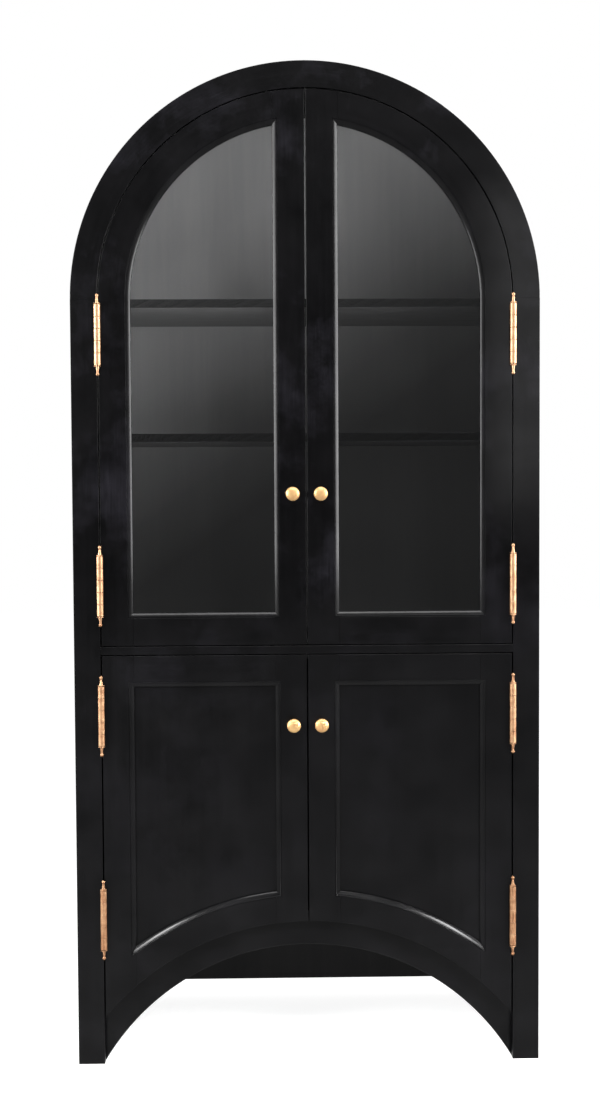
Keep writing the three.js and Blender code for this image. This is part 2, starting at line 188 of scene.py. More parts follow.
class FinishColours(bpy.types.PropertyGroup):
    """Colours of the wood, the metals and the floor."""

    wood_dark: bpy.props.FloatVectorProperty(
        name="Lacquer, dark", description="Darker tone of the black lacquer",
        subtype="COLOR", size=4, default=(0.0004, 0.0004, 0.0005, 1))
    wood_light: bpy.props.FloatVectorProperty(
        name="Lacquer, rubbed", description="Lighter tone of the rubbed lacquer",
        subtype="COLOR", size=4, default=(0.0017, 0.0016, 0.0019, 1))
    hinge_brass: bpy.props.FloatVectorProperty(
        name="Hinge brass", description="Colour of the hinges",
        subtype="COLOR", size=4, default=(0.33, 0.190, 0.102, 1))
    knob_brass: bpy.props.FloatVectorProperty(
        name="Knob brass", description="Colour of the knobs",
        subtype="COLOR", size=4, default=(0.42, 0.262, 0.108, 1))
    steel: bpy.props.FloatVectorProperty(
        name="Steel", description="Colour of the catches' plates and the back screws",
        subtype="COLOR", size=4, default=(0.52, 0.53, 0.55, 1))
    floor: bpy.props.FloatVectorProperty(
        name="Floor", description="Colour of the floor",
        subtype="COLOR", size=4, default=(0.30, 0.30, 0.30, 1))


class StageSettings(bpy.types.PropertyGroup):
    """Lights and camera."""

    key_power: bpy.props.FloatProperty(
        name="Key light", description="Power of the softbox on the right", default=108,
        unit="POWER")
    fill_power: bpy.props.FloatProperty(
        name="Fill light", description="Power of the softbox on the left", default=90, unit="POWER")
    top_power: bpy.props.FloatProperty(
        name="Top light", description="Power of the softbox overhead", default=75, unit="POWER")
    front_power: bpy.props.FloatProperty(
        name="Front light", description="Power of the softbox high in front", default=20,
        unit="POWER")
    strip_power: bpy.props.FloatProperty(
        name="Strip light", description="Power of the upright strip on the camera's right",
        default=7.5, unit="POWER")
    left_strip_power: bpy.props.FloatProperty(
        name="Left strip light", description="Power of the upright strip on the camera's left",
        default=4.0, unit="POWER")
    low_power: bpy.props.FloatProperty(
        name="Low lights", description="Power of each lamp that grazes the base arcs", default=5,
        unit="POWER")
    camera_place: bpy.props.FloatVectorProperty(
        name="Camera place", description="Where the camera stands",
        subtype="TRANSLATION", unit="LENGTH", default=(-0.078, -3.44225, 1.2545))
    camera_turn: bpy.props.FloatVectorProperty(
        name="Camera turn", description="Yaw, downward pitch and roll of the camera",
        subtype="EULER", unit="ROTATION", default=(-0.019466, 0.045075, -0.005425))
    lens: bpy.props.FloatProperty(
        name="Lens", description="Focal length in millimetres for a 36 mm sensor", default=48.43)


# ------------------------------------------------------------------ materials


def add_node(tree, kind, inputs=None, **settings):
    """Adds a node to a tree; inputs are values or sockets by name or number."""
    node = tree.nodes.new(kind)
    for key, value in settings.items():
        setattr(node, key, value)
    for key, value in (inputs or {}).items():
        if isinstance(value, bpy.types.NodeSocket):
            tree.links.new(value, node.inputs[key])
        else:
            node.inputs[key].default_value = value
    return node


def fill_ramp(node, stops):
    """Sets a colour ramp to grey levels at rising positions."""
    elements = node.color_ramp.elements
    elements.remove(elements[1])
    for i, (position, value) in enumerate(stops):
        element = elements[0] if i == 0 else elements.new(position)
        element.position, element.color = position, (value, value, value, 1)


class Shader:
    """A new material and short ways to add nodes to it."""

    def __init__(self, name, **surface):
        self.material = bpy.data.materials.new(name)
        self.material.use_nodes = True
        self.tree = self.material.node_tree
        self.surface = self.tree.nodes["Principled BSDF"]
        for socket, value in surface.items():
            self.surface.inputs[socket.replace("_", " ").title().replace("Ior", "IOR")
                                ].default_value = value

    def add(self, kind, inputs=None, **settings):
        return add_node(self.tree, kind, inputs, **settings)

    def math(self, operation, *values):
        return self.add("ShaderNodeMath", dict(enumerate(values)), operation=operation).outputs[0]

    def place(self):
        return self.add("ShaderNodeTexCoord").outputs["Object"]

    def stretched(self, vector, scale):
        return self.add("ShaderNodeMapping", {"Vector": vector, "Scale": scale}).outputs[0]

    def noise(self, vector, scale=1.0, detail=3.0, roughness=0.55, distortion=0.0):
        return self.add("ShaderNodeTexNoise", {
            "Vector": vector, "Scale": scale, "Detail": detail,
            "Roughness": roughness, "Distortion": distortion}).outputs["Fac"]

    def spread(self, value, low, high, to_low=0.0, to_high=1.0):
        """Maps a range to another, clamped."""
        return self.add("ShaderNodeMapRange", {
            "Value": value, "From Min": low, "From Max": high,
            "To Min": to_low, "To Max": to_high}).outputs[0]

    def blend(self, factor, first, second, mode="MIX"):
        return self.add("ShaderNodeMix", {0: factor, 6: first, 7: second},
                        data_type="RGBA", blend_type=mode).outputs[2]

    def finish(self, **sockets):
        for socket, value in sockets.items():
            self.tree.links.new(value, self.surface.inputs[socket.replace("_", " ").title()])
        return self.material

    def bump(self, height, strength, distance):
        return self.add("ShaderNodeBump", {
            "Height": height, "Strength": strength, "Distance": distance}).outputs[0]


def grain_lines(shader, rule):
    """Position along the grain, across it and into the board, as one vector."""
    place = shader.place()
    x, y, z = shader.add("ShaderNodeSeparateXYZ", {0: place}).outputs[:3]
    if rule == "upright":
        parts = (z, x, y)
    elif rule == "level":
        parts = (x, z, y)
    else:  # bent round the spring centre, with straight legs below it
        above = shader.math("MAXIMUM", shader.math("SUBTRACT", z, SPRING_Z), 0.0)
        below = shader.math("MINIMUM", shader.math("SUBTRACT", z, SPRING_Z), 0.0)
        turn = shader.math("ARCTAN2", above, x)
        along = shader.math("MULTIPLY_ADD", turn, OUTER_R, below)
        squares = shader.math("ADD", shader.math("MULTIPLY", above, above),
                              shader.math("MULTIPLY", x, x))
        parts = (along, shader.math("SQRT", squares), y)
    return shader.add("ShaderNodeCombineXYZ", dict(enumerate(parts))).outputs[0]


PORE_BLACK = (0.0008, 0.0008, 0.0009, 1)
# lighter bluish patches: partly rubbed lacquer, partly a painted sheen
RUBBED_HAZE_AND_PAINTED_SHEEN = (0.0080, 0.0076, 0.0098, 1)


def black_wood(context, rule):
    """Satin black lacquer, rubbed by hand over fine-grained wood, with a painted sheen in patches."""
    name = f"black_wood_{rule}"
    if name in bpy.data.materials:
        return bpy.data.materials[name]
    colours = context.scene.curio_colours
    wood = Shader(name, specular_ior_level=0.03, coat_roughness=0.15)
    grain = grain_lines(wood, rule)
    figure = wood.noise(wood.stretched(grain, (2.2, 85, 85)), detail=5, distortion=0.5)
    fibres = wood.noise(wood.stretched(grain, (16, 620, 620)), detail=2)
    cloud = wood.noise(wood.place(), scale=10, detail=5)
    tone = wood.spread(wood.math("ADD", wood.math("MULTIPLY", figure, 0.4),
                                 wood.math("MULTIPLY", cloud, 0.6)), 0.32, 0.70)
    colour = wood.blend(tone, tuple(colours.wood_dark), tuple(colours.wood_light))
    pores = wood.spread(fibres, 0.58, 0.70)
    colour = wood.blend(wood.math("MULTIPLY", pores, 0.5), colour, PORE_BLACK)
    height = wood.add("ShaderNodeSeparateXYZ", {0: wood.place()}).outputs[2]
    # rubbed haze in broken patches, partly a painted sheen, weaker on the lower third
    haze = wood.spread(wood.noise(wood.place(), scale=4.5, detail=7, roughness=0.68), 0.50, 0.72)
    haze = wood.math("MULTIPLY", haze, wood.spread(fibres, 0.35, 0.62, 0.45, 1.0))
    haze = wood.math("MULTIPLY", haze, wood.spread(height, 0.75, 1.15, 0.25, 1.0))
    colour = wood.blend(haze, colour, RUBBED_HAZE_AND_PAINTED_SHEEN)
    rough = wood.math("ADD", wood.spread(cloud, 0.3, 0.7, 0.36, 0.46),
                      wood.math("MULTIPLY", pores, 0.12))
    relief = wood.math("SUBTRACT", wood.math("MULTIPLY", figure, 0.8), pores)
    return wood.finish(base_color=colour, roughness=rough,
                       coat_weight=wood.spread(cloud, 0.32, 0.68, 0.10, 0.15),
                       normal=wood.bump(relief, 0.16, 0.25 * MM))


# painted light: grey levels of a gradient of light and reflection, painted into the lining and shelves
PAINTED_LIGHT_RAMP = ((0.30, 0.040), (0.45, 0.110), (0.60, 0.270), (0.80, 0.540), (1.0, 0.800))
STAINS = {  # darker and lighter tone
    "black": ((0.0016, 0.0016, 0.0018, 1), (0.0042, 0.0040, 0.0042, 1)),
    # a pale tone that the painted gradient of light darkens
    "smoked": ((0.92, 0.92, 0.93, 1), (1.0, 0.99, 0.99, 1)),
    # darker on the shelves as painted shade, so their lit undersides match the lining
    "smoked_shelf": ((0.25, 0.25, 0.254, 1), (0.28, 0.278, 0.278, 1)),
}


def inside_wood(rule, shade):
    """Flat stain over open grain inside: black, or grey under painted light, darker on shelves as
    painted shade.
    """
    name = f"inside_wood_{shade}_{rule}"
    if name in bpy.data.materials:
        return bpy.data.materials[name]
    wood = Shader(name, specular_ior_level=0.12)
    grain = grain_lines(wood, rule)
    figure = wood.noise(wood.stretched(grain, (2.0, 38, 38)), detail=5, distortion=0.8)
    fibres = wood.noise(wood.stretched(grain, (18, 520, 520)), detail=2)
    colour = wood.blend(wood.spread(figure, 0.34, 0.68), *STAINS[shade])
    if shade.startswith("smoked"):  # painted light: a gradient painted into the colour, dark at the foot on the right, bright at the crown on the left
        x, _, z = wood.add("ShaderNodeSeparateXYZ", {0: wood.place()}).outputs[:3]
        clear = wood.math("MULTIPLY_ADD", x, -0.697, wood.math("MULTIPLY_ADD", z, 0.984, -0.977))
        ramp = wood.add("ShaderNodeValToRGB", {0: clear})
        fill_ramp(ramp, PAINTED_LIGHT_RAMP)
        colour = wood.blend(1.0, colour, ramp.outputs["Color"], "MULTIPLY")
    rough = wood.spread(fibres, 0.35, 0.7, 0.48, 0.62)
    relief = wood.math("ADD", figure, wood.math("MULTIPLY", fibres, 0.6))
    return wood.finish(base_color=colour, roughness=rough,
                       normal=wood.bump(relief, 0.25, 0.3 * MM))


def metal(name, colour, worn, polish, brushed=(1, 1, 1), metallic=1.0, darker_lower_down=0.0):
    """Turned or rolled metal: tarnish in patches, fine tool lines and a varied polish.

    polish is the range of roughness, and darker_lower_down is how fast the metal gets darker and more
    coppery towards the floor.
    """
    if name in bpy.data.materials:
        return bpy.data.materials[name]
    shader = Shader(name, metallic=metallic)
    place = shader.place()
    patches = shader.noise(place, scale=70, detail=4)
    fine = shader.noise(shader.stretched(place, brushed), scale=900, detail=2)
    height = shader.add("ShaderNodeSeparateXYZ", {0: place}).outputs[2]
    # tarnish in patches, darker and more coppery lower down
    tarnish = shader.math("MULTIPLY_ADD", height, -darker_lower_down, patches)
    tint = shader.blend(shader.spread(tarnish, 0.42 - darker_lower_down, 0.68 - darker_lower_down),
                        tuple(colour), worn)
    rough = shader.spread(shader.math("ADD", shader.math("MULTIPLY", patches, 0.6),
                                      shader.math("MULTIPLY", fine, 0.4)),
                          0.35, 0.65, *polish)
    return shader.finish(base_color=tint, roughness=rough,
                         normal=shader.bump(fine, 0.12, 0.05 * MM))


def hinge_brass(context):
    """Satin brass with a coppery tarnish, darker towards the floor."""
    return metal("hinge_brass_satin", context.scene.curio_colours.hinge_brass,
                 (0.19, 0.088, 0.040, 1), (0.42, 0.54), brushed=(1, 1, 6), metallic=0.65,
                 darker_lower_down=0.13)


def knob_brass(context):
    """Light, satin-polished brass."""
    return metal("knob_brass_satin", context.scene.curio_colours.knob_brass,
                 (0.34, 0.18, 0.072, 1), (0.40, 0.48), metallic=0.6)


def plated_steel(context):
    """Zinc-plated steel."""
    return metal("plated_steel", context.scene.curio_colours.steel,
                 (0.40, 0.41, 0.42, 1), (0.28, 0.46))


def clear_glass():
    """Window glass: nearly clear, with a faint mirror on each face and a breath of dust."""
    name = "window_glass"
    if name in bpy.data.materials:
        return bpy.data.materials[name]
    glass = Shader(name, metallic=1.0)
    dust = glass.noise(glass.place(), scale=3, detail=1)
    tint = glass.blend(dust, (0.80, 0.81, 0.82, 1), (0.86, 0.87, 0.88, 1))
    return glass.finish(base_color=tint, roughness=glass.spread(dust, 0.3, 0.7, 0.0, 0.012),
                        alpha=glass.spread(dust, 0.3, 0.7, 0.086, 0.094))


def moulded_plastic():
    """Moulded black plastic with a fine spark-eroded grain."""
    name = "moulded_plastic"
    if name in bpy.data.materials:
        return bpy.data.materials[name]
    plastic = Shader(name, specular_ior_level=0.4)
    place = plastic.place()
    grit = plastic.noise(place, scale=2600, detail=2)
    haze = plastic.noise(place, scale=60, detail=3)
    colour = plastic.blend(haze, (0.018, 0.018, 0.019, 1), (0.032, 0.032, 0.033, 1))
    return plastic.finish(base_color=colour, roughness=plastic.spread(haze, 0.3, 0.7, 0.42, 0.56),
                          normal=plastic.bump(grit, 0.3, 0.08 * MM))


def pale_floor(context):
    """Matt pale floor."""
    name = "pale_floor"
    if name in bpy.data.materials:
        return bpy.data.materials[name]
    shader = Shader(name, specular_ior_level=0.1, emission_strength=0.9)
    cloud = shader.noise(shader.place(), scale=1.4, detail=4)
    colour = tuple(context.scene.curio_colours.floor)
    shade = tuple(0.985 * c for c in colour[:3]) + (1,)
    return shader.finish(base_color=shader.blend(cloud, colour, shade),
                         roughness=shader.spread(cloud, 0.3, 0.7, 0.75, 0.85),
                         emission_color=shader.blend(cloud, (1, 1, 1, 1), (0.98, 0.98, 0.98, 1)))


# ------------------------------------------------------------------ meshes


def new_object(name, bm):
    """An object at the origin from a bmesh, which is freed."""
    mesh = bpy.data.meshes.new(name)
    bm.to_mesh(mesh)
    bm.free()
    obj = bpy.data.objects.new(name, mesh)
    bpy.context.scene.collection.objects.link(obj)
    return obj


def plain_mesh(obj):
    """Makes what the object's modifiers give its own mesh, and takes them off."""
    depsgraph = bpy.context.evaluated_depsgraph_get()
    mesh = bpy.data.meshes.new_from_object(
        obj.evaluated_get(depsgraph), preserve_all_data_layers=True, depsgraph=depsgraph)
    obj.modifiers.clear()
    old, obj.data = obj.data, mesh
    bpy.data.meshes.remove(old)
    mesh.name = obj.name
    return obj


def smooth(obj, angle=40, weighted=True):
    """Smooth shading that keeps corners above the angle and leaves wide faces flat."""
    for polygon in obj.data.polygons:
        polygon.use_smooth = True
    obj.data.set_sharp_from_angle(angle=radians(angle))
    if weighted:
        modifier = obj.modifiers.new("Weighted normals", "WEIGHTED_NORMAL")
        modifier.keep_sharp = True
        modifier.weight = 100
        plain_mesh(obj)
    return obj


def settle(obj, body, slot, material, *nodes):
    """Gives a finished piece its material and body, and the nodes it stands for; slot is not used."""
    obj.data.materials.clear()
    obj.data.materials.append(material)
    if nodes:
        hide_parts(*nodes)
    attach(obj, body)
    return obj


def eased_board(node, body, slot, material, ease, spared=None, segments=3):
    """A copy of a board with its triangles joined into flat faces and its arrises eased.

    spared tells the edges that stay sharp. One segment makes a plain bevel instead of a rounding.
    """
    bm = bmesh.new()
    bm.from_mesh(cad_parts[node].data)
    bmesh.ops.remove_doubles(bm, verts=bm.verts, dist=WELD)
    bmesh.ops.dissolve_limit(bm, angle_limit=radians(0.4), verts=bm.verts, edges=bm.edges)
    arrises = [edge for edge in bm.edges
               if edge.is_manifold and edge.calc_face_angle() > radians(35)
               and not (spared and spared(edge))]
    bmesh.ops.bevel(bm, geom=arrises, offset=ease, offset_type="OFFSET", segments=segments,
                    profile=0.5, affect="EDGES", clamp_overlap=True)
    if segments == 1:  # a plain bevel, drawn shallower on the face
        for vertex in bm.verts:
            if abs(vertex.co.y - FACE_Y - ease) < 0.05 * MM:
                vertex.co.y = FACE_Y + BEVEL_SLOPE * ease
    return settle(smooth(new_object(f"{node}_board", bm), 25 if segments == 1 else 40),
                  body, slot, material, node)


def closed_ring(name, loops):
    """A ring whose section is a closed row of loops with equal numbers of points."""
    bm = bmesh.new()
    rows = [[bm.verts.new(point) for point in loop] for loop in loops]
    count = len(rows[0])
    for row, following in zip(rows, rows[1:] + rows[:1]):
        for i in range(count):
            j = (i + 1) % count
            bm.faces.new((row[i], row[j], following[j], following[i]))
    bmesh.ops.recalc_face_normals(bm, faces=bm.faces)
    return new_object(name, bm)


def turned_solid(profile, segments, axis="Z"):
    """A closed solid of revolution from (radius, height) points; ends on the axis are poles."""
    bm = bmesh.new()
    rows = []
    for radius, height in profile:
        if radius < 1e-7:
            rows.append([bm.verts.new((0, 0, height))])
        else:
            rows.append([bm.verts.new((radius * cos(2 * pi * i / segments),
                                       radius * sin(2 * pi * i / segments), height))
                         for i in range(segments)])
    pairs = list(zip(rows, rows[1:]))
    if len(rows[0]) > 1:  # an open profile closes on itself, round a bore
        pairs.append((rows[-1], rows[0]))
    for low, high in pairs:
        for i in range(segments):
            j = (i + 1) % segments
            if len(low) == 1:
                bm.faces.new((low[0], high[j], high[i]))
            elif len(high) == 1:
                bm.faces.new((low[i], low[j], high[0]))
            else:
                bm.faces.new((low[i], low[j], high[j], high[i]))
    bmesh.ops.recalc_face_normals(bm, faces=bm.faces)
    if axis == "-Y":
        bm.transform(Matrix.Rotation(pi / 2, 4, "X"))
    return bm


def round_bend(centre, radii, start, end, steps):
    """Points of an elliptic arc, angles in degrees."""
    return [(centre[0] + radii[0] * cos(radians(start + (end - start) * i / steps)),
             centre[1] + radii[1] * sin(radians(start + (end - start) * i / steps)))
            for i in range(steps + 1)]


def extruded(outline, low, high, direction="x"):
    """A closed solid along X or Y, from an outline in the other two axes."""
    bm = bmesh.new()
    rows = []
    for level in (low, high):
        rows.append([bm.verts.new((level, a, b) if direction == "x" else (a, level, b))
                     for a, b in outline])
    bm.faces.new(rows[0])
    bm.faces.new(rows[1])
    count = len(outline)
    for i in range(count):
        j = (i + 1) % count
        bm.faces.new((rows[0][i], rows[0][j], rows[1][j], rows[1][i]))
    bmesh.ops.recalc_face_normals(bm, faces=bm.faces)
    return bm


def rounded_outline(width, height, corner, steps=5):
    """A rectangle about the origin with round corners."""
    points = []
    for sx, sy, start in ((1, 1, 0), (-1, 1, 90), (-1, -1, 180), (1, -1, 270)):
        centre = (sx * (width / 2 - corner), sy * (height / 2 - corner))
        points += round_bend(centre, (corner, corner), start, start + 90, steps)
    return points


def moved(source, name, place, side=1):
    """A copy of a mesh at a place, mirrored in X for the left side."""
    bm = bmesh.new()
    bm.from_mesh(source)
    bmesh.ops.scale(bm, vec=(side, 1, 1), verts=bm.verts)
    if side < 0:
        bmesh.ops.reverse_faces(bm, faces=bm.faces)
    bmesh.ops.translate(bm, vec=place, verts=bm.verts)
    return new_object(name, bm)


def soft_edges(obj, width, angle=30, segments=2):
    """Rounds an object's corners by a small amount."""
    modifier = obj.modifiers.new("Soft edges", "BEVEL")
    modifier.width = width
    modifier.segments = segments
    modifier.limit_method = "ANGLE"
    modifier.angle_limit = radians(angle)
    modifier.use_clamp_overlap = True
    return plain_mesh(obj)


# ------------------------------------------------------------------ outlines of the door openings


def arc_points(centre_z, radius, start, end):
    """Points of an arc about the cabinet's middle plane, angles in radians."""
    return [(radius * cos(start + (end - start) * i / ARC_POINTS),
             centre_z + radius * sin(start + (end - start) * i / ARC_POINTS))
            for i in range(ARC_POINTS + 1)]


def display_opening(grow):
    """Outline of the right display door's glazed opening, grown by a margin."""
    inner, outer, low = SIGHT_IN - grow, SIGHT_OUT + grow, DISPLAY_SIGHT_LOW - grow
    return [(inner, low), (outer, low)] + arc_points(SPRING_Z, outer, 0, acos(inner / outer))


def cupboard_opening(grow):
    """Outline of the right cupboard door's panel, grown by a margin."""
    sizes = bpy.context.scene.curio_sizes
    radius = hypot(FACE_R, sizes.arc_drop) + sizes.base_band + RAIL_W - grow
    inner, outer, high = SIGHT_IN - grow, SIGHT_OUT + grow, CUPBOARD_SIGHT_HIGH + grow
    return [(inner, high), (outer, high)] + arc_points(
        -sizes.arc_drop, radius, acos(outer / radius), acos(inner / radius))


def opening_ring(name, side, opening, section):
    """A mitred ring round a door's opening, from (margin, depth) points of its section."""
    return closed_ring(name, [
        [(side * x, FACE_Y + depth, z) for x, z in opening(grow)] for grow, depth in section])


def moulding_section(sizes, nosing):
    """Shallow ovolo between the frame's face and a fillet at the sight edge.

    A nosing above nothing adds a half-round bead of that radius along the outer edge.
    """
    wide, deep = sizes.mould_width, sizes.mould_depth
    proud, fillet, swell = 0.15 * MM, 0.75 * MM, 0.45 * MM
    edge = [(wide, proud + 0.5 * MM), (wide - 0.4 * MM, proud)]
    if nosing:
        edge = round_bend((wide - nosing, 2 * proud), (nosing, -nosing), 0, 180, 8)
    start = Vector((wide - max(0.9 * MM, 2 * nosing + 0.1 * MM), proud + nosing / 3))
    end = Vector((proud + 0.35 * MM, deep - fillet))
    across = end - start
    out = Vector((-across.y, across.x)).normalized()
    if out.y > 0:
        out = -out
    curve = [start + across * (i / 10) + out * swell * (1 - (i / 5 - 1) ** 2)
             for i in range(11)]
    curve = [(grow, max(depth, 0.1 * MM)) for grow, depth in curve]
    return [(wide, deep)] + edge + curve + [(proud, deep - fillet), (proud, deep)]


def bead_section(sizes, low):
    """Quarter-round bead behind a pane, with a narrow flat left at its outer edge and foot."""
    flat, margin = 1.2 * MM, 0.6 * MM
    wide, high = sizes.bead_width, DOOR_REAR - margin
    low += 0.15 * MM
    curve = round_bend((wide - flat, low + flat),
                       (-(wide - flat - margin), high - low - flat), 90, 0, 6)
    return [(wide, low), (wide, high)] + curve + [(margin, low)]


def dress_door(context, kind, word, side, opening, pane_rear):
    """Moulding in front of a door's pane and beads behind it."""
    sizes = context.scene.curio_sizes
    body = f"{kind}_door_{word}"
    nosing = sizes.nosing if kind == "cupboard" else 0.0
    for part, section in (("moulding", moulding_section(sizes, nosing)),
                          ("beads", bead_section(sizes, pane_rear))):
        ring = opening_ring(f"{body}_{part}", side, opening, section)
        settle(smooth(ring, 35, weighted=False), body, "black_wood", black_wood(context, "upright"))


def joint_edges(*joints):
    """Tells the edges that lie in a glued joint, which stay sharp."""
    def spared(edge):
        return any(all(abs(abs(v.co.x) - x) < JOINT_REACH for v in edge.verts) for x in joints)
    return spared


def spring_line(edge):
    """Tells the edges that lie in the joints between the stiles and the arch band."""
    return all(abs(v.co.z - SPRING_Z) < 0.5 * MM for v in edge.verts)


# ------------------------------------------------------------------ lining and lippings


def back_lining():
    """Lining in front of the display case's back, whose grey is a painted gradient of light."""
    radius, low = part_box("back_panel")[1].x - LINING_MARGIN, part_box("deck_panel")[1].z + LINING_RISE
    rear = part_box("back_panel")[0].y - HAIR
    outline = [(-radius, low), (radius, low)] + arc_points(SPRING_Z, radius, 0, pi)
    lining = new_object("display_back_lining", extruded(outline, rear - LINING_T, rear, "y"))
    settle(smooth(lining), "root", "inside_wood", inside_wood("upright", "smoked"))


def shelf_lipping(context, node):
    """Black strip round a shelf's front edge, flush with it in front."""
    low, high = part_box(node)
    thick = high.z - low.z
    section = rounded_outline(thick + 2 * LIPPING_RETURN, thick + 2 * HAIR, LIPPING_CORNER)
    outline = [(low.y + a - thick / 2, (low.z + high.z) / 2 + b) for a, b in section]
    outline = [(max(a, low.y), b) for a, b in outline]
    strip = new_object(f"{node}_lipping", extruded(outline, low.x + HAIR, high.x - HAIR))
    settle(smooth(strip), "root", "black_wood", black_wood(context, "level"))


# ------------------------------------------------------------------ operators


class CURIO_OT_carcass(bpy.types.Operator):
    """Make the sides, the bent roof, the back, the deck, the cupboard floor and the shelves"""

    bl_idname = "curio.carcass"
    bl_label = "Carcass"

    def execute(self, context):
        ease = context.scene.curio_sizes.ease
        for node, rule in (("side_panel_left", "upright"), ("side_panel_right", "upright"),
                           ("arch_top", "bent"), ("deck_panel", "level")):
            eased_board(node, "root", "black_wood", black_wood(context, rule), ease)
        for node, rule, shade in (("back_panel", "upright", "black"),
                                  ("base_panel", "level", "black"),
                                  # the shelves take the painted gradient of light, darkened further as
                                  # painted shade
                                  ("display_shelf_upper", "level", "smoked_shelf"),
                                  ("display_shelf_lower", "level", "smoked_shelf")):
            board = eased_board(node, "root", "inside_wood", inside_wood(rule, shade), ease)
            if node == "back_panel":  # set in, so that its screw heads stand within the depth
                for vertex in board.data.vertices:
                    if vertex.co.y > REAR_Y - 2 * MM:
                        vertex.co.y -= BACK_SET_IN
        back_lining()
        for node in ("display_shelf_upper", "display_shelf_lower"):
            shelf_lipping(context, node)
        return {"FINISHED"}


class CURIO_OT_face_frame(bpy.types.Operator):
    """Make the two stiles, the arch band and the arched apron"""

    bl_idname = "curio.face_frame"
    bl_label = "Face frame"

    def execute(self, context):
        ease = context.scene.curio_sizes.ease
        for node, rule in (("face_stile_left", "upright"), ("face_stile_right", "upright"),
                           ("face_arch", "bent"), ("base_apron", "level")):
            eased_board(node, "root", "black_wood", black_wood(context, rule), ease, spring_line)
        return {"FINISHED"}


class CURIO_OT_display_doors(bpy.types.Operator):
    """Make the two arched glass doors"""

    bl_idname = "curio.display_doors"
    bl_label = "Display doors"

    def execute(self, context):
        sizes = context.scene.curio_sizes
        spared = joint_edges(SIGHT_IN, SIGHT_OUT)
        for word, side in SIDES:
            body = f"display_door_{word}"
            for part, rule, ease, segments in (("arch_stile", "bent", sizes.ease, 3),
                                               ("meeting_stile", "upright", sizes.meeting_ease, 1),
                                               ("bottom_rail", "level", sizes.ease, 3)):
                eased_board(f"{body}_{part}", body, "black_wood", black_wood(context, rule),
                            ease, spared, segments)
            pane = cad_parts[f"{body}_glass"]
            pane.data.materials.clear()
            pane.data.materials.append(clear_glass())
            dress_door(context, "display", word, side, display_opening, GLASS_REAR)
        return {"FINISHED"}


class CURIO_OT_cupboard_doors(bpy.types.Operator):
    """Make the two panelled doors with their arched lower rails"""

    bl_idname = "curio.cupboard_doors"
    bl_label = "Cupboard doors"

    def execute(self, context):
        sizes = context.scene.curio_sizes
        spared = joint_edges(SIGHT_IN, SIGHT_OUT)
        for word, side in SIDES:
            body = f"cupboard_door_{word}"
            for part, rule, ease in (("hinge_stile", "upright", sizes.ease),
                                     ("meeting_stile", "upright", sizes.meeting_ease),
                                     ("top_rail", "level", sizes.ease),
                                     ("arched_rail", "level", sizes.ease),
                                     ("panel", "upright", PANEL_EASE)):
                eased_board(f"{body}_{part}", body, "black_wood", black_wood(context, rule),
                            ease, spared if part != "panel" else None)
            dress_door(context, "cupboard", word, side, cupboard_opening, PANEL_REAR)
        return {"FINISHED"}


def hinge_places():
    """Name, door, side and middle of every hinge, from its pin's box."""
    for kind in ("display", "cupboard"):
        for word, side in SIDES:
            for place in PLACES:
                name = f"{kind}_hinge_{word}_{place}"
                low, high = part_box(f"{name}_pin")
                yield name, f"{kind}_door_{word}", side, (low + high) / 2


def knuckle_profile(radius, low, high):
    """Half section of one knuckle, its outer corners rounded."""
    soft = 0.4 * MM
    profile = [(BORE_R, low), (radius - soft, low)]
    profile += round_bend((radius - soft, low + soft), (soft, soft), -90, 0, 3)[1:]
    profile += round_bend((radius - soft, high - soft), (soft, soft), 0, 90, 3)
    profile.append((BORE_R, high))
    return profile


def finial_profile(tip, radius, gap):
    """Half section of a finial above the barrel: round-edged collar, flare, neck and ball."""
    ball, neck, disc, collar = 3.6 * MM, 2.2 * MM, radius + 0.4 * MM, 1.1 * MM
    bead, shoulder, step = 0.45 * MM, radius - 3.0 * MM, 0.05 * MM
    dip = 0.78 * ball  # from the ball's centre down to the neck
    profile = [(PIN_R, gap), (disc - bead, gap)]
    profile += round_bend((disc - bead, gap + bead), (bead, bead), -90, 0, 3)[1:]
    profile += round_bend((disc - bead, gap + collar - bead), (bead, bead), 0, 90, 3)
    centre = tip - ball
    flare, flare_steps = centre - dip - gap - collar, 10
    for i in range(flare_steps + 1):
        share = i / flare_steps
        profile.append((neck + (shoulder - neck) * (1 - share) ** 1.7,
                        gap + collar + flare * share + (step if i == 0 else 0)))
    start, ball_steps = -atan2(dip, neck), 12
    for i in range(1, ball_steps):
        angle = start + (pi / 2 - start) * i / ball_steps
        profile.append((ball * cos(angle), centre + ball * sin(angle)))
    profile.append((0.0, tip))
    return profile


